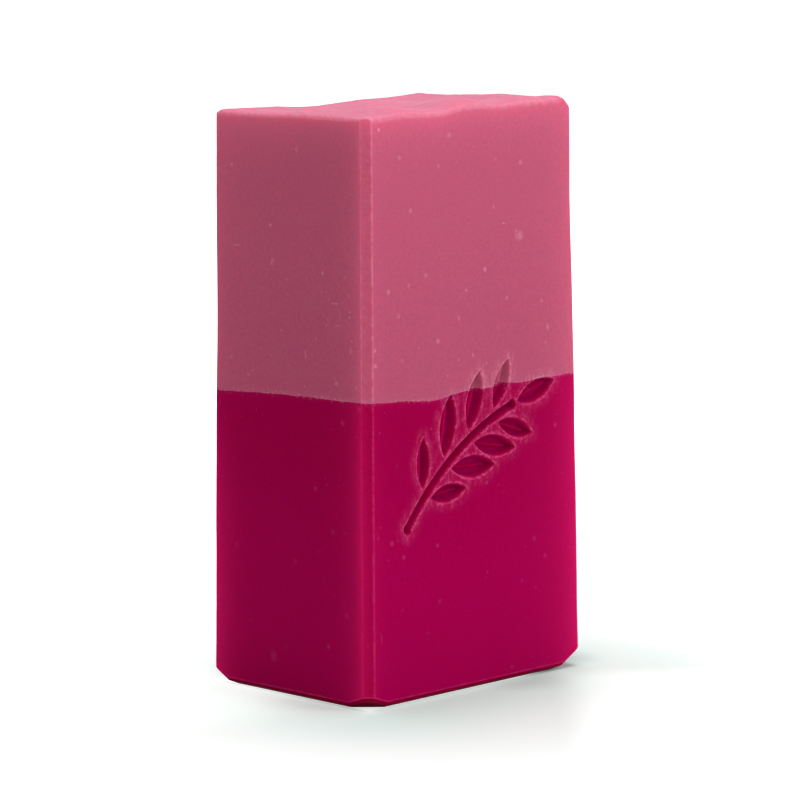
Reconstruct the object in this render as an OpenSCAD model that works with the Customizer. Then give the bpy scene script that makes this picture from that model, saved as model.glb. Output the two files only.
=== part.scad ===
// Hand-cut bar of soap, poured in two colours, standing on its cut end.
// Z is up, the stamped wide face looks towards -Y, and the origin is the
// middle of the footprint. All sizes are in millimetres.

/* [Bar] */
// Width of the bar at its foot, along the stamped face
bar_w = 43.2; // [38:0.2:60]
// Depth of the bar at its foot
bar_d = 30.2; // [24:0.2:45]
// Mean height of the poured top
bar_h = 79.9; // [66:0.1:110]
// How far the stamped front face leans in over the height
front_lean = 1.1; // [0:0.1:2.5]
// How far the back face leans in over the height
back_lean = 0.2; // [0:0.1:2.5]
// How far the left face leans in over the height
left_lean = 0.75; // [0:0.05:2.5]
// How far the right face leans in over the height
right_lean = 1.15; // [0:0.05:2.5]

/* [Pours] */
// Mean height at which the first pour ends and the second begins
first_pour_h = 41.5; // [30:0.1:55]
// Height of the ripples between the two pours
ripple_rise = 0.4; // [0:0.05:1.2]
// Height of the swells on the poured top
swell_rise = 1; // [0:0.1:2]
// Rise of the poured top from the left edge to the right edge
top_rise = 0.6; // [0:0.1:2]

/* [Planed edges] */
// Width planed off the upright edge between the left and the front face
near_edge = 1.1; // [0.3:0.05:3]
// Radius to which the upright edge between the front and the right face is worn
right_edge = 1.2; // [0.3:0.05:3]
// Radius to which the upright edge between the back and the right face is worn
back_edge = 1; // [0.3:0.05:3]
// Radius to which the upright edge between the left and the back face is worn
left_edge = 0.7; // [0.3:0.05:3]
// Depth across the foot planed off below the front face
front_foot_in = 1.2; // [0.3:0.1:4]
// Height planed off the foot of the front face
front_foot_up = 0.6; // [0.3:0.1:4]
// Depth across the foot planed off below the left face
left_foot_in = 1; // [0.3:0.1:4]
// Height planed off the foot of the left face
left_foot_up = 0.5; // [0.3:0.1:4]
// Depth across the foot planed off below the back face
back_foot_in = 3.9; // [0.3:0.1:5]
// Height planed off the foot of the back face
back_foot_up = 2.1; // [0.3:0.1:4]
// Depth across the foot planed off below the right face
right_foot_in = 5.4; // [0.3:0.1:6]
// Height planed off the foot of the right face
right_foot_up = 2.9; // [0.3:0.1:4]
// Depth across the foot planed off below the planed upright edge
near_foot_in = 3; // [0.3:0.1:5]
// Height planed off the foot of the planed upright edge
near_foot_up = 1.5; // [0.3:0.1:4]
// Depth across the top planed off above the right face
right_top_in = 1.8; // [0.3:0.1:4]
// Height planed off the top of the right face
right_top_up = 1.7; // [0.5:0.1:4]
// Width of the worn shoulder along the other top edges
shoulder_in = 1.2; // [0.5:0.1:2.5]
// Drop of the worn shoulder above the stamped face
shoulder_drop = 0.8; // [0.1:0.1:1.5]

/* [Stamp] */
// Distance of the stamp's middle to the right of the bar's middle
stamp_x = 1.3; // [-3:0.1:3]
// Height of the stamp's middle on the front face
stamp_z = 33.7; // [26:0.1:48]
// Depth of the stamped pockets
stamp_depth = 1.3; // [0.6:0.1:2]
// Draft of the pocket walls in degrees
stamp_draft = 14; // [4:1:20]
// Number of leaf pairs along the stem
leaf_pairs = 4; // [2:1:4]
// Length of the longest leaf
leaf_len = 8.6; // [6:0.1:9]
// Width of the longest leaf
leaf_w = 3; // [2.2:0.1:3.3]
// Distance between leaf pairs along the stem
leaf_pitch = 5.6; // [5:0.1:6]
// Angle between a leaf and the stem in degrees
leaf_angle = 41; // [36:1:46]
// Width left standing between the stem and the foot of a leaf
leaf_gap = 0.5; // [0.4:0.1:0.8]
// Width of the stem at the face
stem_w = 1.2; // [1:0.1:1.6]
// Radius that the stem bends on
stem_r = 42; // [38:1:60]
// Width of the raised vein on a leaf's floor
vein_w = 0.5; // [0.4:0.05:0.7]
// Height of the raised vein above a leaf's floor
vein_h = 0.6; // [0.3:0.05:0.8]

/* [Hidden] */
$fn = 96;

base_colour = "#A00046";
top_colour = "#C45A7C";

// Spare length by which a cutting shape reaches past the bar
over = 4;
// Spacing of the points on the poured top and between the pours
top_step = 1.3;
line_step = 1.5;
// The left and back top edges are worn less than the front one
edge_wear = 0.8;
// Faces round a worn upright edge
edge_steps = 5;
// Stations across a worn shoulder, as shares of its width
shoulder_steps = [0, 0.08, 0.25, 0.55, 1];

// Swells of the poured top, each as [x, y, rise, spread]
swells = [
    [0, -10.5, 1.2, 3.4],
    [-13.5, -10, 0.85, 3],
    [10.5, -11, 0.65, 3.5],
    [17, -13, 0.45, 2.6],
    [-1, 14, -0.55, 5.5],
    [-8, 4, -1.1, 5.5],
    [7, 2, -0.4, 4.2],
    [13, 9, -0.7, 4],
    [-17, 9, -0.1, 4],
    [-15, -2, 0.4, 3.6],
    [17, -4, 0.5, 3.5],
    [19, 6, 0.25, 3.5]
];

// Ripples between the two pours, each as [x, y, share of the rise, spread]
ripples = [
    [-8.5, -15, -1.6, 3.2],
    [-21, -15, 0.4, 3.5],
    [-16.8, -15, -0.45, 2],
    [-2, -15, 0.3, 2.2],
    [6.4, -15, 0.6, 1.4],
    [17, -15, 0.9, 5],
    [-21, 15, -1.5, 6],
    [-21, -4, 0.2, 6],
    [5, 2, 1.2, 7],
    [19, 12, -1, 6],
    [2, 15, 0.7, 5]
];

// The stem starts low on the left and bends over towards the right
stem_start = [-15, -9.8];
stem_start_angle = 53;
// Length of stem below the first pair of leaves
stem_foot = 4.6;
// Length of stem between the last pair and the leaf at the tip
stem_tip = 4.8;
// How far the knob at each end of the stem stands out past its sides
stem_knob = 0.15;
// Each leaf pair's length as a share of the longest
pair_shares = [0.8, 1, 0.97, 0.84];
tip_share = 0.92;
// A vein is this share of its leaf's length
vein_share = 0.7;

function bump(x, y, p) = p[2] * exp(-(pow(x - p[0], 2) + pow(y - p[1], 2)) / (2 * p[3] * p[3]));

// The four sides of the bar at height z
function left_x(z) = -bar_w / 2 + left_lean * z / bar_h;
function right_x(z) = bar_w / 2 - right_lean * z / bar_h;
function front_y(z) = -bar_d / 2 + front_lean * z / bar_h;
function back_y(z) = bar_d / 2 - back_lean * z / bar_h;

// Height of the join between the two pours
function line_z(x, y) = first_pour_h + ripple_rise * sum_of([for (p = ripples) bump(x, y, p)]);

// Height lost at a distance from a top edge that is worn round
function worn(distance, reach, drop) =
    distance >= reach ? 0 : drop * (1 - sqrt(1 - pow(1 - max(distance, 0) / reach, 2)));

// Height of the poured top
function top_z(x, y) =
    bar_h + top_rise * x / bar_w
    + swell_rise * sum_of([for (p = swells) bump(x, y, p)])
    - worn(y - front_y(bar_h), shoulder_in, shoulder_drop)
    - worn(back_y(bar_h) - y, shoulder_in, shoulder_drop * edge_wear)
    - worn(x - left_x(bar_h), shoulder_in, shoulder_drop * edge_wear);

function sum_of(list) = list * [for (i = [1 : len(list)]) 1];

// Even stations from lo to hi, no further apart than step
function even(lo, hi, step) =
    let (n = ceil((hi - lo) / step))
    [for (i = [0 : n]) lo + (hi - lo) * i / n];

// Stations that crowd together over the worn shoulder at both ends
function crowded(lo, hi, step) =
    let (
        first = lo + shoulder_in,
        last = hi - shoulder_in
    )
    concat(
        [lo - over],
        [for (s = shoulder_steps) lo + s * shoulder_in],
        [for (v = even(first, last, step)) if (v > first && v < last) v],
        [for (i = [len(shoulder_steps) - 1 : -1 : 0]) hi - shoulder_steps[i] * shoulder_in],
        [hi + over]
    );

line_xs = even(-bar_w / 2 - over, bar_w / 2 + over, line_step);
line_ys = even(-bar_d / 2 - over, bar_d / 2 + over, line_step);
top_xs = crowded(left_x(bar_h), right_x(bar_h), top_step);
top_ys = crowded(front_y(bar_h), back_y(bar_h), top_step);

// Points of a surface over stations xs and ys, one row for each y
function line_points() = [for (y = line_ys, x = line_xs) [x, y, line_z(x, y)]];
function top_points() = [for (y = top_ys, x = top_xs) [x, y, top_z(x, y)]];

// Two triangles for each cell of a surface whose points start at first,
// seen from above, or from below when flipped
function sheet_faces(nx, ny, first, flipped) = [
    for (j = [0 : ny - 2], i = [0 : nx - 2], half = [0, 1])
        let (
            a = first + j * nx + i,
            b = a + 1,
            c = a + nx,
            d = c + 1,
            tri = half == 0 ? [a, d, b] : [a, c, d]
        )
        flipped ? [tri[0], tri[2], tri[1]] : tri
];

// Solid between a surface above and a flat floor at depth z below it
module block_under(points, nx, ny, z) {
    low = points[0];
    high = points[nx * ny - 1];
    corners = [[low.x, low.y, z], [high.x, low.y, z], [high.x, high.y, z], [low.x, high.y, z]];
    n = nx * ny;
    front = [for (i = [0 : nx - 1]) i];
    back = [for (i = [0 : nx - 1]) n - 1 - i];
    right = [for (j = [0 : ny - 1]) j * nx + nx - 1];
    left = [for (j = [0 : ny - 1]) n - nx - j * nx];
    polyhedron(
        points = concat(points, corners),
        faces = concat(
            sheet_faces(nx, ny, 0, false),
            [
                concat(front, [n + 1, n]),
                concat(right, [n + 2, n + 1]),
                concat(back, [n + 3, n + 2]),
                concat(left, [n, n + 3]),
                [n, n + 1, n + 2, n + 3]
            ]
        )
    );
}

// Everything below the join of the two pours
module below_join() {
    block_under(line_points(), len(line_xs), len(line_ys), -over);
}

// Everything below the poured top
module below_top() {
    block_under(top_points(), len(top_xs), len(top_ys), -2 * over);
}

// Points round a worn upright edge at height z, from the angle start on
function worn_edge(centre, radius, start, z) = [
    for (i = [0 : edge_steps])
        let (a = start + 90 * i / edge_steps)
        [centre.x + radius * cos(a), centre.y + radius * sin(a), z]
];

// Outline of the bar at height z, one upright edge planed flat and three worn round
function outline(z) = concat(
    [[left_x(z), front_y(z) + near_edge, z], [left_x(z) + near_edge, front_y(z), z]],
    worn_edge([right_x(z) - right_edge, front_y(z) + right_edge], right_edge, -90, z),
    worn_edge([right_x(z) - back_edge, back_y(z) - back_edge], back_edge, 0, z),
    worn_edge([left_x(z) + left_edge, back_y(z) - left_edge], left_edge, 90, z)
);

// The block as the wires cut it, leaning in a little on every side
module cut_block() {
    n = len(outline(0));
    polyhedron(
        points = concat(outline(0), outline(bar_h + over)),
        faces = concat(
            [[for (i = [0 : n - 1]) i]],
            [for (i = [0 : n - 1]) let (k = (i + 1) % n) [i, i + n, k + n, k]],
            [[for (i = [0 : n - 1]) 2 * n - 1 - i]]
        )
    );
}

// Long wedge that planes off an edge along Y, with the bar towards +X and +Z
module edge_wedge(across, up, length) {
    rotate([90, 0, 0])
        linear_extrude(height = length, center = true)
            polygon([
                [-over, up + over * up / across],
                [-over, -over],
                [across + over * across / up, -over]
            ]);
}

// What the plane takes off round the foot
module foot_wedges() {
    reach = bar_w + bar_d;
    translate([-bar_w / 2, 0, 0])
        edge_wedge(left_foot_in, left_foot_up, reach);
    translate([bar_w / 2, 0, 0])
        mirror([1, 0, 0])
            edge_wedge(right_foot_in, right_foot_up, reach);
    translate([0, -bar_d / 2, 0])
        rotate([0, 0, 90])
            edge_wedge(front_foot_in, front_foot_up, reach);
    translate([0, bar_d / 2, 0])
        rotate([0, 0, -90])
            edge_wedge(back_foot_in, back_foot_up, reach);
    translate([near_edge / 2 - bar_w / 2, near_edge / 2 - bar_d / 2, 0])
        rotate([0, 0, 45])
            edge_wedge(near_foot_in, near_foot_up, reach);
}

// What the plane takes off the top of the right face
module right_top_wedge() {
    edge_z = bar_h + top_rise / 2;
    translate([right_x(bar_h), 0, edge_z])
        mirror([0, 0, 1])
            mirror([1, 0, 0])
                edge_wedge(right_top_in, right_top_up, bar_w + bar_d);
}

// Puts its children on the leaning front face, z pointing out of the soap
module on_front_face() {
    lean_angle = atan(front_lean / bar_h);
    translate([stamp_x, front_y(stamp_z), stamp_z])
        rotate([90 - lean_angle, 0, 0])
            children();
}

// Direction and place of the stem at a length from its start
function stem_angle(s) = stem_start_angle - s / stem_r * 180 / PI;
stem_centre = stem_start + stem_r * [sin(stem_start_angle), -cos(stem_start_angle)];
function stem_point(s) = stem_centre + stem_r * [-sin(stem_angle(s)), cos(stem_angle(s))];

stem_len = stem_foot + (leaf_pairs - 1) * leaf_pitch + stem_tip;
draft_slope = tan(stamp_draft);

// A cone that narrows with depth by the draft and stands proud of the face
module drafted_cone(radius) {
    widening = draft_slope * stamp_depth;
    translate([0, 0, -stamp_depth])
        cylinder(h = 2 * stamp_depth, r1 = radius - widening, r2 = radius + widening);
}

// One leaf pocket from its foot along +X: the lens where two cones cross,
// with a raised vein left along its floor
module leaf_pocket(length, width) {
    radius = (length * length + width * width) / (4 * width);
    shift = radius - width / 2;
    translate([length / 2, 0, 0])
        difference() {
            intersection() {
                translate([0, shift, 0]) drafted_cone(radius);
                translate([0, -shift, 0]) drafted_cone(radius);
            }
            vein(length * vein_share);
        }
}

// A roof-shaped ridge along X that stands on the pocket's floor
module vein(length) {
    translate([-length / 2, 0, -stamp_depth])
        rotate([90, 0, 90])
            linear_extrude(height = length)
                polygon([
                    [-vein_w / 2, -vein_h],
                    [vein_w / 2, -vein_h],
                    [vein_w / 2, 0],
                    [0, vein_h],
                    [-vein_w / 2, 0]
                ]);
}

// The stem's drafted groove, bent on its radius, with a small knob at both ends
module stem_groove() {
    half = stem_w / 2;
    narrow = draft_slope * stamp_depth;
    translate([stem_centre.x, stem_centre.y, 0])
        rotate([0, 0, stem_angle(stem_len) + 90])
            rotate_extrude(angle = stem_start_angle - stem_angle(stem_len), $fn = 360)
                polygon([
                    [stem_r - half + narrow, -stamp_depth],
                    [stem_r + half - narrow, -stamp_depth],
                    [stem_r + half + narrow, stamp_depth],
                    [stem_r - half - narrow, stamp_depth]
                ]);
    for (s = [0, stem_len])
        translate([stem_point(s).x, stem_point(s).y, 0])
            drafted_cone(half + stem_knob);
}

// The whole stamp: a bent stem with leaves in pairs and one at the tip
module stamp() {
    clear = stem_w / 2 + leaf_gap;
    stem_groove();
    for (i = [0 : leaf_pairs - 1], side = [-1, 1]) {
        s = stem_foot + i * leaf_pitch;
        translate([stem_point(s).x, stem_point(s).y, 0])
            rotate([0, 0, stem_angle(s) + side * leaf_angle])
                translate([clear / sin(leaf_angle), 0, 0])
                    leaf_pocket(leaf_len * pair_shares[i], leaf_w * pair_shares[i]);
    }
    translate([stem_point(stem_len).x, stem_point(stem_len).y, 0])
        rotate([0, 0, stem_angle(stem_len)])
            translate([clear, 0, 0])
                leaf_pocket(leaf_len * tip_share, leaf_w * tip_share);
}

// First pour, up to the join
module base_layer() {
    color(base_colour)
        difference() {
            intersection() {
                cut_block();
                below_join();
            }
            foot_wedges();
            on_front_face() stamp();
        }
}

// Second pour, from the join to the poured top
module top_layer() {
    color(top_colour)
        difference() {
            intersection() {
                cut_block();
                below_top();
            }
            below_join();
            right_top_wedge();
            on_front_face() stamp();
        }
}

base_layer();
top_layer();
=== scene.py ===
from math import ceil, cos, pi, radians, sin, sqrt, tan

import bpy
import numpy as np
from mathutils import Matrix, Vector


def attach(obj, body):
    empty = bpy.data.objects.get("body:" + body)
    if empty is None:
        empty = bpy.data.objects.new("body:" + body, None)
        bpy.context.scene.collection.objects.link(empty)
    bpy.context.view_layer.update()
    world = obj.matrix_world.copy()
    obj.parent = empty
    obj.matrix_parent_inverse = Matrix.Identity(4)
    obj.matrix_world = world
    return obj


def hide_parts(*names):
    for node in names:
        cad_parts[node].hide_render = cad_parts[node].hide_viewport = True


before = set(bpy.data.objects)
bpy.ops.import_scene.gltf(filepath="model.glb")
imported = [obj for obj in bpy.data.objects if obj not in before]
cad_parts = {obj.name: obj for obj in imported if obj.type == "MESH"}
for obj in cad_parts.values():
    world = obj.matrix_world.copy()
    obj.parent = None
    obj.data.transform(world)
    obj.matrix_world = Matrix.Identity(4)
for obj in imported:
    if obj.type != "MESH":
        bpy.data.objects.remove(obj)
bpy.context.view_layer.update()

# The magenta pour: the lower half of a bar of hard soap, cast first and cut from its loaf
# with wires. Its sides lean in a little, one upright edge and the foot edges are planed,
# and the other edges are worn round. Most of the stamp is pressed into its wide face.
bar_w, bar_d, bar_h = 43.2, 30.2, 79.9
front_lean, back_lean, left_lean, right_lean = 1.1, 0.2, 0.75, 1.15
near_edge, right_edge, back_edge, left_edge = 1.1, 1.2, 1.0, 0.7

# A millimetre in metres, and a distance in mm that means nowhere near
mm, far_off = 0.001, 99

# How far each edge of the foot is planed, along the foot and up the face
front_foot, back_foot = (1.2, 0.6), (3.9, 2.1)
left_foot, right_foot = (1.0, 0.5), (5.4, 2.9)
near_foot = (3.0, 1.5)


def left_x(z):
    return -bar_w / 2 + left_lean * z / bar_h


def right_x(z):
    return bar_w / 2 - right_lean * z / bar_h


def front_y(z):
    return -bar_d / 2 + front_lean * z / bar_h


def back_y(z):
    return bar_d / 2 - back_lean * z / bar_h


def outline(station, z):
    """The place on the bar's outline at height z. Stations 0 to 1 run along the wide face,
    1 to 2 round the edge to its right, and so on, and 7 to 8 cross the planed edge."""
    left, right, front, back = left_x(z), right_x(z), front_y(z), back_y(z)
    stretch = np.minimum(np.floor(station), 7).astype(int)
    t = station - stretch
    turn = t * pi / 2
    x = np.choose(stretch, [
        (left + near_edge) * (1 - t) + (right - right_edge) * t,
        right - right_edge + right_edge * np.sin(turn),
        right + 0 * t,
        right - back_edge + back_edge * np.cos(turn),
        (right - back_edge) * (1 - t) + (left + left_edge) * t,
        left + left_edge - left_edge * np.sin(turn),
        left + 0 * t,
        left + near_edge * t,
    ])
    y = np.choose(stretch, [
        front + 0 * t,
        front + right_edge - right_edge * np.cos(turn),
        (front + right_edge) * (1 - t) + (back - back_edge) * t,
        back - back_edge + back_edge * np.sin(turn),
        back + 0 * t,
        back - left_edge + left_edge * np.cos(turn),
        (back - left_edge) * (1 - t) + (front + near_edge) * t,
        front + near_edge * (1 - t),
    ])
    return x, y


def planed_in(z, foot):
    across, up = foot
    return across * np.clip(1 - z / up, 0, 1)


# The join between the pours ripples, each ripple as x, y, share of the rise, spread, and is
# roughened by lumps of two sizes, as rise and size
first_pour_h, ripple_rise = 41.5, 0.4
join_lumps, join_grain = (0.07, 1.7), (0.04, 0.6)
ripples = [
    (-8.5, -15, -1.6, 3.2), (-21, -15, 0.4, 3.5), (-16.8, -15, -0.45, 2), (-2, -15, 0.3, 2.2),
    (6.4, -15, 0.6, 1.4), (17, -15, 0.9, 5), (-21, 15, -1.5, 6), (-21, -4, 0.2, 6),
    (5, 2, 1.2, 7), (19, 12, -1, 6), (2, 15, 0.7, 5),
]


# Uneven factors that turn the corners of a lattice into values that look random
corner_mix, seed_mix, value_mix = np.array([127.1, 311.7, 74.7]), 19.19, 43758.5453


def lumps(points, size, seed):
    """Smooth random lumps of about that size in mm, from -1 to 1, the same on every run."""
    cell = np.floor(points / size)
    part = points / size - cell
    part = part * part * (3 - 2 * part)
    total = 0
    for corner in np.ndindex(2, 2, 2):
        share = np.prod(np.abs(1 - np.array(corner) - part), axis=1)
        key = (cell + corner) @ corner_mix + seed * seed_mix
        value = np.sin(key) * value_mix
        total = total + share * (value - np.floor(value))
    return 2 * total - 1


def ease(v):
    v = np.clip(v, 0, 1)
    return v * v * (3 - 2 * v)


def bumps(x, y, places):
    return sum(rise * np.exp(-((x - px) ** 2 + (y - py) ** 2) / (2 * spread ** 2))
               for px, py, rise, spread in places)


def join_z(x, y):
    flat = np.stack([x, y, 0 * x], 1)
    rough = sum(rise * lumps(flat, size, seed)
                for seed, (rise, size) in enumerate((join_lumps, join_grain), 1))
    return first_pour_h + ripple_rise * bumps(x, y, ripples) + rough


# The stamp is a bent stem with pointed leaves in pairs and one at its tip. Each leaf is the
# lens where two circles cross, with drafted walls and a raised vein along its floor.
stamp_x, stamp_z, stamp_depth, draft = 1.3, 33.7, 1.3, tan(radians(14))
leaf_pairs, leaf_len, leaf_w, leaf_pitch, leaf_gap = 4, 8.6, 3.0, 5.6, 0.5
leaf_angle = radians(41)
stem_w, stem_r, stem_knob = 1.2, 42, 0.15
vein_w, vein_h, vein_share, vein_end = 0.5, 0.6, 0.7, 0.2
stem_start, stem_start_angle = np.array([-15, -9.8]), radians(53)
stem_foot, stem_tip = 4.6, 4.8
pair_shares, tip_share = [0.8, 1, 0.97, 0.84], 0.92
stem_len = stem_foot + (leaf_pairs - 1) * leaf_pitch + stem_tip
stem_centre = stem_start + stem_r * np.array([sin(stem_start_angle), -cos(stem_start_angle)])


def stem_heading(s):
    return stem_start_angle - s / stem_r


def stem_point(s):
    return stem_centre + stem_r * np.array([-sin(stem_heading(s)), cos(stem_heading(s))])


def leaves():
    """Each leaf's foot, heading, length and width."""
    clear = stem_w / 2 + leaf_gap
    grown = [(stem_foot + pair * leaf_pitch, side * leaf_angle, clear / sin(leaf_angle), share)
             for pair, share in enumerate(pair_shares) for side in (-1, 1)]
    grown.append((stem_len, 0, clear, tip_share))
    for s, swing, away, share in grown:
        heading = stem_heading(s) + swing
        foot = stem_point(s) + away * np.array([cos(heading), sin(heading)])
        yield foot, heading, leaf_len * share, leaf_w * share


def stamp_outline(u, v):
    """The distance outside the nearest pocket, and the height of the vein there."""
    from_centre = np.hypot(u - stem_centre[0], v - stem_centre[1])
    bearing = np.arctan2(v - stem_centre[1], u - stem_centre[0])
    along = stem_r * (stem_start_angle + pi / 2 - bearing)
    on_stem = (along > 0) & (along < stem_len)
    outside = np.where(on_stem, np.abs(from_centre - stem_r) - stem_w / 2, far_off)
    for s in (0, stem_len):
        end = stem_point(s)
        outside = np.minimum(outside, np.hypot(u - end[0], v - end[1]) - stem_w / 2 - stem_knob)
    vein = np.zeros_like(u)
    for foot, heading, length, width in leaves():
        a = (u - foot[0]) * cos(heading) + (v - foot[1]) * sin(heading) - length / 2
        b = np.abs((v - foot[1]) * cos(heading) - (u - foot[0]) * sin(heading))
        radius = (length ** 2 + width ** 2) / (4 * width)
        lens = np.hypot(a, b + radius - width / 2) - radius
        beyond = np.hypot(np.abs(a) - length / 2, b)
        lens = np.where(np.abs(a) > length / 2, np.maximum(lens, beyond), lens)
        outside = np.minimum(outside, lens)
        ridge = vein_h * np.clip(1 - 2 * b / vein_w, 0, 1)
        within = np.clip((length * vein_share / 2 - np.abs(a)) / vein_end, 0, 1)
        vein = np.maximum(vein, ridge * within)
    return outside, vein


def even(lo, hi, step):
    """Stations from lo up to hi, without hi itself."""
    return list(np.linspace(lo, hi, int(ceil((hi - lo) / step)) + 1)[:-1])


# Columns of the mesh round the bar, a step apart in mm on its faces and as a share of the turn
# round its edges. They crowd beside the planed edge and where the stamp is.
stamp_half_w, stamp_low, stamp_high = 16.2, 22.8, 46.6
fine_step, wall_step, edge_step, thin_by = 0.12, 0.48, 0.1, 4
near_strip, round_step, hidden_step, planed_step = 0.8, 0.1, 0.2, 0.09
face_from = left_x(stamp_z) + near_edge
face_len = right_x(stamp_z) - right_edge - face_from
stamp_from = stamp_x - stamp_half_w - face_from
stamp_to = stamp_x + stamp_half_w - face_from
near_run = even(0, near_strip, edge_step)
face_run = near_run + even(near_strip, stamp_from, wall_step)
fine_first = len(face_run)
face_run += even(stamp_from, stamp_to, fine_step)
fine_last = len(face_run)
face_run += even(stamp_to, face_len, wall_step)
right_len = bar_d - right_edge - back_edge
back_len = bar_w - back_edge - left_edge
left_len = bar_d - left_edge - near_edge
left_run = even(0, left_len - near_strip, wall_step) + [left_len - n for n in near_run[:0:-1]]
columns = np.array(
    [s / face_len for s in face_run]
    + [1 + s for s in even(0, 1, round_step)]
    + [2 + s / right_len for s in even(0, right_len, wall_step)]
    + [3 + s for s in even(0, 1, hidden_step)]
    + [4 + s / back_len for s in even(0, back_len, wall_step)]
    + [5 + s for s in even(0, 1, hidden_step)]
    + [6 + s / left_len for s in left_run]
    + [7 + s for s in even(0, 1, planed_step)] + [8]
)


def thinned(index, first, last):
    """Sends each index between first and last back to the last one kept, so that they merge."""
    return np.where((index > first) & (index < last), first + (index - first) // thin_by * thin_by, index)


# How the stamp sinks: a raised lip, a soft rim, a drafted wall, and a floor with its vein. The
# lip comes and goes in lumps, and the floor is a little wavy.
lip_at, lip_rise, lip_w, lip_least, lip_lumps, lip_lump = 0.16, 0.05, 0.12, 0.6, 0.7, 0.8
rim_soft, rim_reach, floor_wave, floor_wave_size = 0.05, 6.0, 0.03, 1.4


def pressed_in(outside, vein, place):
    wall = -outside / draft
    wall = 0.5 * (wall + np.sqrt(wall ** 2 + rim_soft))
    floor = stamp_depth - vein + floor_wave * lumps(place, floor_wave_size, 7)
    sunk = 0.5 * (floor + wall - np.sqrt((floor - wall) ** 2 + rim_soft))
    lip = lip_rise * (lip_least + lip_lumps * lumps(place, lip_lump, 8))
    lip = lip * np.exp(-((outside - lip_at) / lip_w) ** 2)
    return np.maximum(sunk, 0) - lip


# The wires leave the faces a little wavy, but not at the stamp's rim, with two hollows as
# x, y, z, depth and spread. The planed edge is chipped where lumps of two sizes rise past a
# level. Shade is painted, darker, on the soap up to a little above the planed foot edges.
wave_rise, wave_size, small_wave, small_wave_size, calm = 0.04, 8, 0.25, 1.8, 0.4
chip_depth, chip_reach, chip_size, chip_patch, chip_level = 0.12, 0.3, 0.9, 3.1, 0.45
painted_foot_shade_rise = 0.35
hollows = [(21, -15, 66, 0.2, 8), (-21, 15, 52, 0.12, 7)]

# The planed edge is paler a quarter as far on to the narrow face, and right across on the
# pink pour. The rings of the join keep clear of the stamp's floor, from a few mm in.
narrow_face, pale_planed_across, behind_stamp, behind_turn = 4, 0.23, 0.3, 3

# Glow and sheen are painted where light shines through the soap at its upright edges. Each
# face has a strength and a reach in mm at its start and at its end, on its way round from the
# planed edge. The painted glow under the top fades faster or slower on the way round, by station.
painted_edge_glow_levels = np.array([(0.35, 1.2, 1.2, 3.2), (1, 3, 1, 3), (1, 3, 1, 2), (0.9, 2.4, 1.5, 1.8)])
top_fade = [(0, 1), (5, 1), (6, 0.75), (7, 1.35), (7.5, 1.8), (8, 1)]

# Less glow is painted across the planed edge. The magenta pour loses a share of it over a few
# mm under the join. At the left edge it starts low there, and gains further down in two steps,
# each as its gain, start and length.
painted_glow_on_planed, join_loss, join_loss_reach = 0.6, 0.25, 8
left_edge_at, left_edge_least = 5.5, 0.55
left_edge_gains = [(0.95, 0, 22), (0.3, 20, 15)]


def painted_glow_through(station, z):
    """How much glow to paint for light shining through, at that height and place on the outline."""
    stretch = np.minimum(np.floor(station), 7).astype(int)
    t = station - stretch
    face = stretch // 2
    run = np.array([face_len, right_len, back_len, left_len])[face]
    first, first_reach, last, last_reach = painted_edge_glow_levels[face].T
    on_face = np.maximum(first * np.exp(-t * run / first_reach), last * np.exp((t - 1) * run / last_reach))
    across_edge = last * (1 - t) + painted_edge_glow_levels[(face + 1) % 4, 0] * t
    light = np.where(stretch % 2 == 0, on_face, across_edge * np.where(stretch == 7, painted_glow_on_planed, 1))
    depth = first_pour_h - z
    light = np.where(depth > 0, light * (1 - join_loss * np.exp(-depth / join_loss_reach)), light)
    by_left_edge = (np.abs(station - left_edge_at) < 1) & (depth > 0)
    gained = sum(gain * ease((depth - start) / length) for gain, start, length in left_edge_gains)
    return np.where(by_left_edge, light * (left_edge_least + gained), light)


# Small steps for slopes, the least slope that counts, and how the skin is merged and shaded
probe, nudge, least_steep = 0.02, 1e-4, 0.2
merge_within, crease = 2e-6, radians(38)


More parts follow.
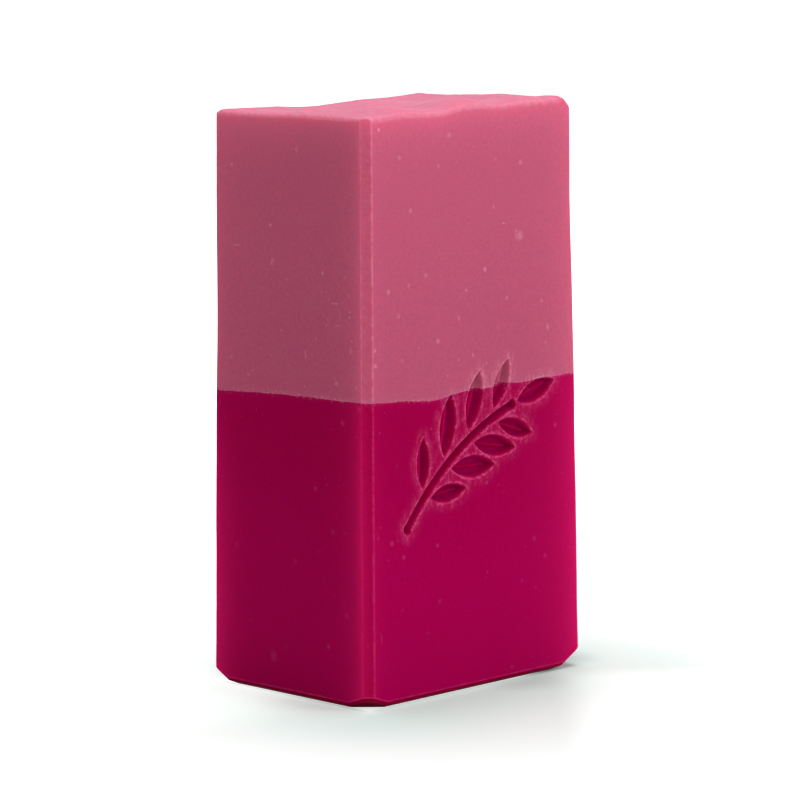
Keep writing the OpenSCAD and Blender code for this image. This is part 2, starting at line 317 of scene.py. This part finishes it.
def pour_skin(name, rows, thin_rows, full_columns, heights, inner, rim):
    """A closed skin of one pour, from a grid whose rows are (part, along it, share of the way
    in to the middle). Outside the stamp, every fourth of the rows in thin_rows is kept, and
    the rows in full_columns keep every column. Each part has its height at the outline, the
    inner rings of a part lie on its surface in inner, and rim is the bar's top edge."""
    bpy.ops.object.select_all(action="DESELECT")
    bpy.ops.mesh.primitive_grid_add(x_subdivisions=len(columns) - 1, y_subdivisions=len(rows) - 1, size=1)
    skin = bpy.context.object
    skin.name = skin.data.name = name
    grid = np.empty(len(skin.data.vertices) * 3)
    skin.data.vertices.foreach_get("co", grid)
    column = np.rint((grid[0::3] + 0.5) * (len(columns) - 1)).astype(int)
    row = np.rint((grid[1::3] + 0.5) * (len(rows) - 1)).astype(int)
    in_stamp = (column >= fine_first) & (column <= fine_last)
    full = (row >= full_columns[0]) & (row <= full_columns[1])
    row = np.where(in_stamp, row, thinned(row, *thin_rows))
    column = np.where(full, column, thinned(column, fine_first, fine_last))
    part = np.array([r[0] for r in rows])[row]
    along = np.array([r[1] for r in rows], float)[row]
    inward = np.array([r[2] for r in rows], float)[row]
    station = columns[column] % 8

    # Height first, then the place on the outline at that height
    z = np.select([part == p for p in heights], [height(along, station) for height in heights.values()])
    x, y = outline(station, z)

    # On the wide face, points near a rim or a floor's border move on to it
    u, v = x - stamp_x, z - stamp_z
    facing = station <= 1
    wall = (part == "low") | (part == "high") | (part == "join")
    outside, vein = stamp_outline(u, v)
    slope_u = (stamp_outline(u + probe, v)[0] - outside) / probe
    slope_v = (stamp_outline(u, v + probe)[0] - outside) / probe
    steep = np.maximum(slope_u ** 2 + slope_v ** 2, least_steep)
    for border in (0, -draft * stamp_depth, lip_at):
        off = outside - border
        near = facing & wall & (np.abs(off) < fine_step / 2)
        u = np.where(near, u - off * slope_u / steep, u)
        v = np.where(near, v - off * slope_v / steep, v)
    outside, vein = stamp_outline(u, v)
    outside = np.where(facing & wall, np.minimum(outside, rim_reach), rim_reach)
    x = np.where(facing, np.minimum(u + stamp_x, bar_w / 2 - planed_in(z, right_foot)), x)
    z = np.where(facing, v + stamp_z, z)
    y = np.where(facing, front_y(z), y)

    # The faces are waved and chipped square to the outline, and the stamp is pressed in
    ahead = outline(station + nudge, z)
    before = outline(np.maximum(station - nudge, 0), z)
    run_x, run_y = ahead[0] - before[0], ahead[1] - before[1]
    run = np.hypot(run_x, run_y)
    place = np.stack([x, y, z], 1)
    edge_away = np.minimum(narrow_face * np.hypot(x - left_x(z), y - front_y(z) - near_edge),
                           np.hypot(x - left_x(z) - near_edge, y - front_y(z)))
    side = (part == "low") | (part == "high")
    edge_away = np.where(side, edge_away, far_off)
    on_pink_edge = (station > 7) & (z > first_pour_h)
    edge_away = np.where(on_pink_edge, np.minimum(edge_away, pale_planed_across), edge_away)
    chipped = np.clip(lumps(place, chip_size, 5) + 0.5 * lumps(place, chip_patch, 6) - chip_level, 0, 1)
    wave = wave_rise * (lumps(place, wave_size, 3) + small_wave * lumps(place, small_wave_size, 4))
    for px, py, pz, depth, spread in hollows:
        away = np.hypot(np.hypot(x - px, y - py), z - pz)
        wave = wave - depth * np.exp(-(away / spread) ** 2 / 2)
    chips = chip_depth * chipped * np.exp(-(edge_away / chip_reach) ** 2)
    wave = wave * np.clip(outside / calm, 0, 1) - chips
    sunk = np.where(facing & wall, pressed_in(outside, vein, place), 0)
    x = x + wave * run_y / run
    y = y - wave * run_x / run + sunk

    # The inner rings pass behind the stamp and close at the middle, and the foot is planed
    turned = ease(np.minimum(station, 1 - station) * face_len / behind_turn)
    clear = front_y(z) + (stamp_depth + behind_stamp) * turned
    y = np.where((part == "join") & facing, np.maximum(y, clear), y)
    x, y = x * (1 - inward), y * (1 - inward)
    for p, surface in inner.items():
        z = np.where((part == p) & (inward > 0), surface(x, y), z)
    x = np.clip(x, -bar_w / 2 + planed_in(z, left_foot), bar_w / 2 - planed_in(z, right_foot))
    y = np.clip(y, -bar_d / 2 + planed_in(z, front_foot), bar_d / 2 - planed_in(z, back_foot))
    from_corner = (x + bar_w / 2 + y + bar_d / 2 - near_edge) / sqrt(2)
    # How far each point lies within the shade painted on the planed foot edges, for each edge
    shaded = [foot[0] * (1 + (painted_foot_shade_rise - z) / foot[1]) - away for foot, away in
              ((left_foot, x + bar_w / 2), (front_foot, y + bar_d / 2), (near_foot, from_corner))]
    push = np.where(z < near_foot[1], np.maximum(planed_in(z, near_foot) - from_corner, 0), 0) / sqrt(2)
    x, y = x + push, y + push

    skin.data.vertices.foreach_set("co", np.stack([x, y, z], 1).ravel() * mm)

    # What the finish reads at each point: distances in mm, and the painted glow as a share
    places = {
        "rim_away": outside,
        "edge_away": edge_away,
        "painted_edge_glow": np.where(side, painted_glow_through(station, z), 0),
        "undercut": np.where(side, np.maximum.reduce(shaded), -far_off),
        "from_top": np.where(side, (rim(station) - z) * np.interp(station, *zip(*top_fade)),
                             np.where(part == "top", -inward * bar_d / 2, far_off)),
        "from_join": np.where(side, np.abs(z - join_z(x, y)), np.where(part == "join", 0, far_off)),
    }
    for label, values in places.items():
        attribute = skin.data.attributes.new(label, "FLOAT", "POINT")
        attribute.data.foreach_set("value", values.astype(np.float32))
    bpy.ops.object.mode_set(mode="EDIT")
    bpy.ops.mesh.select_all(action="SELECT")
    bpy.ops.mesh.remove_doubles(threshold=merge_within)
    bpy.ops.mesh.normals_make_consistent(inside=False)
    bpy.ops.object.mode_set(mode="OBJECT")
    bpy.ops.object.shade_smooth_by_angle(angle=crease)
    return skin


def foot_z(along, station):
    return 0 * station


def seam_z(along, station):
    return join_z(*outline(station, first_pour_h))


def low_z(along, station):
    rippled = ease((along - ripple_from) / (first_pour_h - ripple_from))
    return along + rippled * (seam_z(along, station) - first_pour_h)


# Rows from the middle of the foot, up the wall and over the join to its middle
ripple_from, foot_rows_end, foot_step = 30, 3.1, 0.1
under_stamp = even(0, foot_rows_end, foot_step) + even(foot_rows_end, stamp_low, wall_step)
wall_rows = under_stamp + even(stamp_low, first_pour_h, fine_step) + [first_pour_h]
rings = [0.12, 0.3, 0.5, 0.75, 1]
low_rows = [("foot", 0, q) for q in rings[::-1]]
stamp_row = len(low_rows) + len(under_stamp)
low_rows += [("low", h, 0) for h in wall_rows]
seam_row = len(low_rows) - 1
low_rows += [("join", 0, q) for q in [0] + rings]
magenta_pour = pour_skin("magenta_pour", low_rows, (stamp_row, seam_row), (stamp_row, seam_row + 1),
                         {"foot": foot_z, "low": low_z, "join": seam_z},
                         {"foot": lambda x, y: 0 * x, "join": join_z},
                         lambda station: far_off + 0 * station)


# The glow painted under the top as its strength and reach in mm, and how much of the pale
# colour each kind of mark takes
painted_top_glow, painted_top_glow_reach = 0.65, 3.2
burr_pale, bruise_pale, smear_pale, rim_pale, foot_line_pale = 0.6, 0.36, 0.3, 0.4, 0.26

# Air specks of two sizes: cells to a mm, largest radius in mm, and share of cells left empty
speck_sizes = [(0.42, 0.6, 0.4), (0.9, 0.26, 0.6)]


def soap_finish(name, colours, glow, speck_share, painted_edge_glow_share, pale_planed_edge_share, scars):
    """Matt soap that light sinks into: finely grained, with pale air specks, painted deeper
    towards the join as shade, painted brighter as glow where light shines through an edge or
    under the top, ashy where it was poured with a painted sheen there, and paler where it is
    burred at the stamp, bruised beside it or along a planed edge. The glow argument is how far
    red, green and blue light sink in, in mm, and the shares are strengths."""
    finish = bpy.data.materials.new(name)
    finish.use_nodes = True
    tree = finish.node_tree
    shader = tree.nodes["Principled BSDF"]

    def add(kind, inputs=(), out=0, **settings):
        made = tree.nodes.new(kind)
        for key, value in settings.items():
            setattr(made, key, value)
        for socket, value in dict(inputs).items():
            if isinstance(value, bpy.types.NodeSocket):
                tree.links.new(value, made.inputs[socket])
            else:
                made.inputs[socket].default_value = value
        return made.outputs[out]

    def maths(operation, a, b=0.0, c=0.0, clamp=False):
        return add("ShaderNodeMath", {0: a, 1: b, 2: c}, operation=operation, use_clamp=clamp)

    def ramp(value, start, end, low=0.0, high=1.0):
        return add("ShaderNodeMapRange", {"Value": value, "From Min": start, "From Max": end,
                                          "To Min": low, "To Max": high}, interpolation_type="SMOOTHSTEP")

    def mixed(share, a, b):
        return add("ShaderNodeMix", {"Factor": share, "A": a, "B": b}, out=2, data_type="RGBA")

    def noise(place, scale, detail):
        return add("ShaderNodeTexNoise", {"Vector": place, "Scale": scale, "Detail": detail})

    def patchy(share, scale, detail, start, end, least=0.0):
        """The share broken up by noise, which leaves all of it in places and least elsewhere."""
        return maths("MULTIPLY", share, ramp(noise(place, scale, detail), start, end, least, 1))

    def line(value, at, reach, full):
        """A line where the value is within full of at, which fades out up to reach."""
        return ramp(maths("ABSOLUTE", maths("SUBTRACT", value, at)), reach, full)

    def stored(label):
        return add("ShaderNodeAttribute", attribute_name=label, out=2)

    metres = add("ShaderNodeTexCoord", out=3)
    place = add("ShaderNodeVectorMath", {0: metres, "Scale": 1 / mm}, operation="SCALE")
    rim_away, edge_away, painted_edge_glow = stored("rim_away"), stored("edge_away"), stored("painted_edge_glow")
    from_top, from_join, undercut = stored("from_top"), stored("from_join"), stored("undercut")

    # Colour that deepens towards the join as painted shade, with a slow drift and fine grain in it
    drift = ramp(noise(place, 0.09, 3), 0.3, 0.7)
    grain = ramp(noise(place, 2.4, 5), 0.3, 0.7)
    tone_and_shade = maths("MULTIPLY_ADD", ramp(from_join, 27, 3), 0.6, maths("MULTIPLY", drift, 0.12))
    tone_and_shade = maths("MULTIPLY_ADD", grain, 0.7, maths("SUBTRACT", tone_and_shade, 0.3))
    soap = mixed(tone_and_shade, (*colours["body"], 1), (*colours["deep_tone_and_shade"], 1))

    # Glow is painted where light shines through under the top and at the edges, and the
    # poured top is ashy
    painted_glow = maths("EXPONENT", maths("DIVIDE", from_top, -painted_top_glow_reach))
    painted_glow = maths("MULTIPLY", painted_glow, painted_top_glow, clamp=True)
    painted_edge_glow = maths("MULTIPLY", painted_edge_glow, painted_edge_glow_share)
    painted_glow = maths("MULTIPLY_ADD", painted_edge_glow, maths("SUBTRACT", 1.0, painted_glow), painted_glow)
    painted_glow = maths("MULTIPLY", painted_glow, ramp(grain, 0, 1, 1.08, 0.9), clamp=True)
    soap = mixed(painted_glow, soap, (*colours["painted_glow"], 1))
    # The ashy colour on the poured top also stands in for its sheen, so it is partly painted sheen
    ash_and_sheen = ramp(maths("MULTIPLY_ADD", noise(place, 1.2, 3), 0.8, from_top), 0.85, -0.15)
    soap = mixed(patchy(ash_and_sheen, 0.7, 5, 0.3, 0.65, 0.7), soap, (*colours["ash_and_sheen"], 1))
    # Shade is painted on the planed foot edges, which face the floor, and a little above them
    painted_foot_shade = ramp(undercut, 0.02, 0.25)
    soap = mixed(painted_foot_shade, soap, (*colours["painted_foot_shade"], 1))

    # Air specks, as balls scattered through the soap
    specks = 0.0
    for scale, largest, empty in speck_sizes:
        cells = add("ShaderNodeTexVoronoi", {"Vector": place, "Scale": scale})
        pick = add("ShaderNodeSeparateColor", {"Color": cells.node.outputs["Color"]})
        radius = ramp(pick, empty, 1, 0, largest * scale)
        ball = ramp(maths("DIVIDE", cells, maths("MAXIMUM", radius, 0.001)), 1, 0.2)
        specks = maths("MAXIMUM", maths("MULTIPLY", ball, pick.node.outputs[1]), specks)
    specks = maths("MULTIPLY", specks, speck_share)

    # Nicks, scratches and pale spots, by middle, half sizes and strength
    broken = ramp(noise(place, 2.5, 2), 0.35, 0.6, 0.3, 1)
    for middle, halves, strength in scars:
        off = add("ShaderNodeVectorMath", {0: place, 1: middle}, operation="SUBTRACT")
        off = add("ShaderNodeVectorMath", {0: off, 1: halves}, operation="DIVIDE")
        off = add("ShaderNodeVectorMath", {0: off}, operation="LENGTH", out=1)
        scar = maths("MULTIPLY", ramp(off, 1, 0.3), broken)
        specks = maths("MAXIMUM", specks, maths("MULTIPLY", scar, strength))

    # The burr along a rim, crumbly and broken, and the bruised soap beside it
    burr_at = maths("MULTIPLY_ADD", noise(place, 3.1, 3), 0.5, lip_at - 0.2)
    burr_wide = ramp(noise(place, 2.3, 4), 0.35, 0.65, 0.06, 0.3)
    burr = ramp(maths("DIVIDE", maths("ABSOLUTE", maths("SUBTRACT", rim_away, burr_at)), burr_wide), 1, 0.3)
    burr = patchy(burr, 1.1, 4, 0.38, 0.58, 0.15)
    streaks = add("ShaderNodeVectorMath", {0: place, 1: (1.5, 1.5, 0.5)}, operation="MULTIPLY")
    bruise = maths("MULTIPLY", ramp(rim_away, 1.9, 0.3), ramp(rim_away, -0.05, 0.1))
    bruise = maths("MULTIPLY", bruise, ramp(noise(streaks, 1.0, 4), 0.4, 0.65, 0.15, 1))
    bruise = patchy(bruise, 2.6, 4, 0.35, 0.65, 0.3)

    # The pale rim of the top, partly wear and partly a painted highlight, the paler planed
    # edges, and what the second pour smeared along the join
    rim_wear_and_highlight = patchy(line(from_top, -0.2, 0.55, 0.1), 1.3, 4, 0.35, 0.6, 0.4)
    pale_planed_edge = patchy(ramp(edge_away, 0.3, 0.05), 1.1, 5, 0.42, 0.62, 0.3)
    smear = patchy(ramp(from_join, 0.5, 0.1), 2.0, 4, 0.5, 0.65)
    marks = 0.0
    for mark, pale in ((burr, burr_pale), (bruise, bruise_pale), (pale_planed_edge, pale_planed_edge_share),
                       (smear, smear_pale), (rim_wear_and_highlight, rim_pale), (specks, 1)):
        marks = maths("MAXIMUM", marks, maths("MULTIPLY", mark, pale), clamp=True)

    # The pale marks stay off the shade painted on the planed foot edge, with a pale line where that shade
    # begins
    foot_line = patchy(line(undercut, -0.2, 0.25, 0.08), 1.4, 4, 0.35, 0.6, 0.3)
    marks = maths("MULTIPLY", marks, maths("SUBTRACT", 1, painted_foot_shade))
    marks = maths("MAXIMUM", marks, maths("MULTIPLY", foot_line, foot_line_pale))
    tree.links.new(mixed(marks, soap, (*colours["pale"], 1)), shader.inputs["Base Color"])

    # Light sinks in, less at a mark and hardly across the join, and the surface is uneven
    sinks = maths("MULTIPLY", ramp(from_join, 0.1, 1.0), maths("MULTIPLY_ADD", marks, -0.8, 1))
    tree.links.new(sinks, shader.inputs["Subsurface Weight"])
    shader.inputs["Subsurface Radius"].default_value = glow
    shader.inputs["Subsurface Scale"].default_value = mm
    tree.links.new(ramp(noise(place, 0.8, 3), 0.3, 0.7, 0.42, 0.55), shader.inputs["Roughness"])
    shader.inputs["Specular IOR Level"].default_value = 0.008
    uneven = maths("MULTIPLY_ADD", noise(place, 5, 3), 0.3, noise(place, 0.9, 3))
    tree.links.new(add("ShaderNodeBump", {"Height": uneven, "Strength": 0.25, "Distance": 0.00008}),
                   shader.inputs["Normal"])
    return finish


# One colour paints glow where light shines through, the ashy one also paints sheen, the deeper one also
# paints shade towards the join, and the darkest paints shade on the foot
magenta_colours = {"body": (0.380, 0.0, 0.073), "deep_tone_and_shade": (0.327, 0.0, 0.053), "painted_glow": (0.65, 0.007, 0.125),
                   "ash_and_sheen": (0.62, 0.09, 0.24), "pale": (0.62, 0.09, 0.24), "painted_foot_shade": (0.21, 0.0, 0.02)}
magenta_scars = [
    ((-7.9, -14.8, 21), (0.4, 1, 0.4), 0.35), ((-19, -15, 9.7), (0.2, 1, 0.9), 0.35),
    ((-21.5, 3.2, 5.2), (1, 0.9, 1.2), 0.18), ((2, -14.8, 16), (0.3, 1, 0.3), 0.3),
    ((-21.2, -7, 30), (1, 0.3, 0.3), 0.25), ((12, -14.9, 12.5), (0.3, 1, 0.3), 0.25),
]
magenta_pour.data.materials.append(
    soap_finish("magenta_soap", magenta_colours, glow=(2.6, 0.4, 0.8), speck_share=0.3,
                painted_edge_glow_share=0.6, pale_planed_edge_share=0.2, scars=magenta_scars))
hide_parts("base_layer")
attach(magenta_pour, "root")

# The pink pour: the upper half, cast on the first once that had set. Its top is as it was
# poured, with slow swells and small ripples, and its upper right corner is planed off.
top_rise, swell_rise = 0.6, 1.0
top_lumps, top_grain = (0.05, 2.4), (0.02, 0.8)
shoulder_in, shoulder_drop, edge_wear = 1.2, 0.8, 0.8
crisp_from, crisp_reach, crisp_share = 17, 2.5, 0.75
right_top = (1.8, 1.7)
swells = [
    (0, -10.5, 1.2, 3.4), (-13.5, -10, 0.85, 3), (10.5, -11, 0.65, 3.5), (17, -13, 0.45, 2.6),
    (-1, 14, -0.55, 5.5), (-8, 4, -1.1, 5.5), (7, 2, -0.4, 4.2), (13, 9, -0.7, 4),
    (-17, 9, -0.1, 4), (-15, -2, 0.4, 3.6), (17, -4, 0.5, 3.5), (19, 6, 0.25, 3.5),
    (20, -13, 0.35, 1.6),
]


def worn(distance, reach, drop):
    share = np.clip(1 - distance / reach, 0, 1)
    return drop * (1 - np.sqrt(1 - share ** 2))


def top_z(x, y):
    place = np.stack([x, y, 0 * x], 1)
    poured = bar_h + top_rise * x / bar_w + swell_rise * bumps(x, y, swells)
    for seed, (rise_by, size) in enumerate((top_lumps, top_grain), 11):
        poured = poured + rise_by * lumps(place, size, seed)
    crisp = 1 - crisp_share * ease((x - crisp_from) / crisp_reach)
    poured = poured - worn(y - front_y(bar_h), shoulder_in, shoulder_drop * crisp)
    poured = poured - worn(back_y(bar_h) - y, shoulder_in, shoulder_drop * edge_wear)
    poured = poured - worn(x - left_x(bar_h), shoulder_in, shoulder_drop * edge_wear)
    across, up = right_top
    planed = bar_h + top_rise / 2 - up + up * (right_x(bar_h) - x) / across
    return np.minimum(poured, planed)


def high_z(along, station):
    seam, rim = seam_z(along, station), rim_z(along, station)
    return seam + along * (rim - seam)


def rim_z(along, station):
    return top_z(*outline(station, bar_h))


# Rows from the middle of the join, up the wall and over the top to its middle
pink_h = bar_h - first_pour_h
under_rim, rim_step, ring_step, shoulder_rows = 3.0, 0.25, 0.4, 8
stamp_rows = even(0, stamp_high - first_pour_h, fine_step)
wall_rows = (stamp_rows + even(stamp_high - first_pour_h, pink_h - under_rim, wall_step)
             + even(pink_h - under_rim, pink_h, rim_step) + [pink_h])
over_rows = [shoulder_in * (k / shoulder_rows) ** 2 for k in range(1, shoulder_rows)]
over_rows += even(shoulder_in, bar_d / 2, ring_step)
high_rows = [("join", 0, q) for q in rings[::-1] + [0]]
join_rings = len(high_rows)
high_rows += [("high", h / pink_h, 0) for h in wall_rows]
high_rows += [("top", 0, 2 * h / bar_d) for h in over_rows + [bar_d / 2]]
pink_pour = pour_skin("pink_pour", high_rows, (join_rings, join_rings + len(stamp_rows)),
                      (join_rings - 1, join_rings + len(stamp_rows)),
                      {"join": seam_z, "high": high_z, "top": rim_z}, {"join": join_z, "top": top_z},
                      lambda station: rim_z(0, station))
# One colour paints glow where light shines through, the ashy one also paints sheen, the deeper one also
# paints shade towards the join, and the darkest paints shade on the foot
pink_colours = {"body": (0.518, 0.097, 0.183), "deep_tone_and_shade": (0.454, 0.082, 0.163), "painted_glow": (0.78, 0.15, 0.26),
                "ash_and_sheen": (0.555, 0.152, 0.225), "pale": (0.72, 0.28, 0.38), "painted_foot_shade": (0.3, 0.05, 0.1)}
pink_scars = [
    ((9.1, -14.5, 62), (1.3, 1, 1.1), 0.45), ((8.4, -14.5, 62.4), (0.25, 1, 0.8), 0.8),
    ((-18.4, -14.2, 77.9), (0.35, 1, 0.35), 1), ((-13, -14.4, 56.8), (0.4, 1, 0.4), 0.4),
    ((-12.5, -14.4, 66.8), (0.4, 1, 0.5), 0.5), ((-7, -14.2, 72.5), (0.45, 1, 0.4), 0.45),
    ((3.9, -14.4, 66.3), (0.3, 1, 0.4), 0.5), ((5.9, -14.4, 63.9), (0.35, 1, 0.2), 0.6),
    ((6.4, -14.4, 53.6), (0.45, 1, 0.4), 0.5), ((-1.7, -14.4, 55.3), (0.4, 1, 0.3), 0.45),
    ((-15, -14.5, 52.9), (0.5, 1, 0.5), 0.4), ((-3.3, -14.5, 51.6), (0.3, 1, 0.6), 0.4),
    ((13.6, -14.4, 52.6), (0.35, 1, 0.35), 0.5), ((14.8, -14.5, 48.9), (0.4, 1, 0.6), 0.5),
    ((-21, -1.1, 74.8), (1, 0.5, 0.3), 0.4), ((-21, -1.1, 74.8), (1, 0.15, 0.7), 0.5),
    ((-21.1, 3.9, 64.3), (1, 0.35, 0.35), 0.6), ((-21.1, 3.5, 59.3), (1, 0.5, 0.9), 0.35),
    ((-21.1, -6.1, 58.5), (1, 0.35, 0.35), 0.5), ((-21, 11.5, 72.1), (1, 0.35, 0.35), 0.45),
    ((-21.1, 10.5, 61.2), (1, 1.2, 0.14), 0.5), ((-21.1, -8.4, 54.6), (1, 0.9, 0.16), 0.6),
    ((-21.1, -9.4, 53), (1, 0.16, 1), 0.55), ((-21.1, -9, 51.7), (1, 0.9, 0.14), 0.45),
    ((-21.2, -11.4, 48.6), (1, 0.3, 0.7), 0.5), ((-21.2, -2.9, 47.2), (1, 0.16, 0.9), 0.5),
    ((-21.2, 8.2, 43.6), (1, 0.5, 0.3), 0.35), ((-21.2, -8.8, 43.9), (1, 0.5, 0.35), 0.45),
]
pink_pour.data.materials.append(
    soap_finish("pink_soap", pink_colours, glow=(2.6, 0.7, 0.9), speck_share=0.5,
                painted_edge_glow_share=0.33, pale_planed_edge_share=0.4, scars=pink_scars))
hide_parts("top_layer")
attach(pink_pour, "root")

# The floor: a plain white sheet, wide enough to have no edge in view. Away from the bar and
# its shadow it is lifted to white for the camera and for what mirrors it.
bpy.ops.object.select_all(action="DESELECT")
bpy.ops.mesh.primitive_plane_add(size=12)
floor = bpy.context.object
floor.name = "floor"
sheet = bpy.data.materials.new("white_sheet")
sheet.use_nodes = True
sheet_nodes, sheet_links = sheet.node_tree.nodes, sheet.node_tree.links
sheet_nodes.clear()


def make(kind, inputs=(), out=0, **settings):
    made = sheet_nodes.new(kind)
    for key, value in settings.items():
        setattr(made, key, value)
    for socket, value in dict(inputs).items():
        if isinstance(value, bpy.types.NodeSocket):
            sheet_links.new(value, made.inputs[socket])
        else:
            made.inputs[socket].default_value = value
    return made.outputs[out]


def rise(value, start, end, share):
    return make("ShaderNodeMapRange", {"Value": value, "From Min": start, "From Max": end, "To Max": share},
                interpolation_type="SMOOTHSTEP")


def calc(operation, a, b=0.0):
    return make("ShaderNodeMath", {0: a, 1: b}, operation=operation)


def blend(share, a, b):
    return make("ShaderNodeMix", {"Factor": share, "A": a, "B": b}, out=2, data_type="RGBA")


def vector(operation, a, b=(0, 0, 0), out=0):
    return make("ShaderNodeVectorMath", {0: a, 1: b}, out=out, operation=operation)


# Distances on the sheet in mm: from the foot of the bar, from the middle of its shadow, to the
# right as the camera sees it, and towards the camera
foot_in, shadow_at, shadow_shape = 1, (-8, -30, 0), (0.63, 1, 0)
right_way, camera_way = (0.69, -0.72, 0), (-0.72, -0.69, 0)
metres = make("ShaderNodeTexCoord", out=3)
spot = make("ShaderNodeVectorMath", {0: metres, "Scale": 1 / mm}, operation="SCALE")
beyond = vector("SUBTRACT", vector("ABSOLUTE", spot), (bar_w / 2 - foot_in, bar_d / 2 - foot_in, 0))
from_foot = vector("LENGTH", vector("MAXIMUM", beyond), out=1)
from_shadow = vector("LENGTH", vector("MULTIPLY", vector("SUBTRACT", spot, shadow_at), shadow_shape), out=1)
rightward = vector("DOT_PRODUCT", spot, right_way, out=1)
nearer = vector("DOT_PRODUCT", spot, camera_way, out=1)

# Close before the bar the sheet takes up most of the red light that the bar throws on it, and
# it is painted a little darker there as shade
near_tint, far_tint, painted_shadow_black = (0.637, 0.785, 0.735, 1), (0.805, 0.84, 0.825, 1), (0, 0, 0, 1)
plain = calc("MAXIMUM", rise(from_foot, 0, 27, 1), rise(rightward, 6, -12, 0.45))
plain = calc("MAXIMUM", plain, rise(rightward, 23, 31, 0.6))
tint = blend(plain, near_tint, far_tint)

# The shadow is painted deeper in two places, each as its middle, its reach and its depth
painted_shadow_spots = [((8, -15, 0), 10, 0.24), ((23, -10, 0), 7, 0.25)]
for dark_at, reach, depth in painted_shadow_spots:
    tint = blend(rise(vector("DISTANCE", spot, dark_at, out=1), reach, 0, depth), tint, painted_shadow_black)

# The sheet is lifted a little round the shadow, nearly to white far off, in a strip on each
# side of the bar, and in a thin line along the foot that only the camera sees
line_reach = 0.9
seen = sheet_nodes.new("ShaderNodeLightPath")
at_foot = calc("EXPONENT", calc("DIVIDE", from_foot, -line_reach))
at_foot = calc("MULTIPLY", at_foot, seen.outputs["Is Camera Ray"])
lifts = [
    rise(from_shadow, 6, 43, 0.165),
    rise(from_shadow, 60, 300, 0.84),
    calc("MULTIPLY", rise(rightward, 20.5, 28, 0.21), rise(nearer, -5, 5, 1)),
    calc("MULTIPLY", rise(rightward, -10, -22, 0.26), rise(nearer, 40, 12, 1)),
    calc("MULTIPLY", at_foot, rise(rightward, 21, 16, 0.6)),
]
total = 0.0
for part in lifts:
    total = calc("ADD", part, total)
seen_directly = calc("MAXIMUM", seen.outputs["Is Camera Ray"], seen.outputs["Is Glossy Ray"])
strength = calc("MULTIPLY", total, seen_directly)
shade = make("ShaderNodeBsdfDiffuse", {"Color": tint})
lift = make("ShaderNodeEmission", {"Color": (0.985, 1.0, 0.985, 1), "Strength": strength})
sheet_end = sheet_nodes.new("ShaderNodeOutputMaterial")
sheet_links.new(make("ShaderNodeAddShader", {0: shade, 1: lift}), sheet_end.inputs["Surface"])
floor.data.materials.append(sheet)

# The light: soft boxes before the planed edge, before the wide face, and above, all aimed at
# the middle of the bar
middle = Vector((0, 0, 0.0403))


def softbox(name, where, size, watts):
    lamp = bpy.data.lights.new(name, "AREA")
    lamp.energy, lamp.size = watts, size
    stand = bpy.data.objects.new(name, lamp)
    bpy.context.scene.collection.objects.link(stand)
    stand.location = where
    stand.rotation_euler = (Vector(where) - middle).to_track_quat("Z", "Y").to_euler()


softbox("camera_side_light", (-0.45, -0.75, 0.45), size=0.5, watts=3.1)
softbox("wide_face_light", (0.35, -0.7, 0.45), size=0.5, watts=2.3)
softbox("top_light", (0.05, 0.05, 0.9), size=0.8, watts=8.2)
world = bpy.data.worlds.new("white_room")
bpy.context.scene.world = world
world.use_nodes = True

# The room is white to the camera, and throws only a little light
room_light, room_seen = 0.09, 1.0
room_nodes, room_links = world.node_tree.nodes, world.node_tree.links
background = room_nodes["Background"]
ray = room_nodes.new("ShaderNodeLightPath")
room = room_nodes.new("ShaderNodeMapRange")
room.inputs["To Min"].default_value = room_light
room.inputs["To Max"].default_value = room_seen
room_links.new(ray.outputs["Is Camera Ray"], room.inputs["Value"])
room_links.new(room.outputs["Result"], background.inputs["Strength"])
background.inputs["Color"].default_value = (1, 1, 1, 1)

# The camera: a long lens a little above the bar, facing its planed upright edge
azimuth, elevation, roll = radians(-46.086), radians(7.81), radians(0.086)
lens_px, away, centre_x, centre_y = 3783, 0.5266, -0.803, -11.422
frame_px, sensor = 800, 36
back = Vector((sin(azimuth) * cos(elevation), -cos(azimuth) * cos(elevation), sin(elevation)))
across = Vector((cos(azimuth), sin(azimuth), 0))
upward = back.cross(across)
eye = middle + back * away
aim = middle + (upward * centre_y - across * centre_x) * away / lens_px
camera = bpy.data.cameras.new("camera")
camera.sensor_width, camera.lens = sensor, sensor * lens_px / frame_px
stand = bpy.data.objects.new("camera", camera)
bpy.context.scene.collection.objects.link(stand)
stand.matrix_world = (Matrix.Translation(eye) @ (eye - aim).to_track_quat("Z", "Y").to_matrix().to_4x4()
                      @ Matrix.Rotation(-roll, 4, "Z"))
bpy.context.scene.camera = stand
bpy.context.scene.view_settings.view_transform = "Standard"
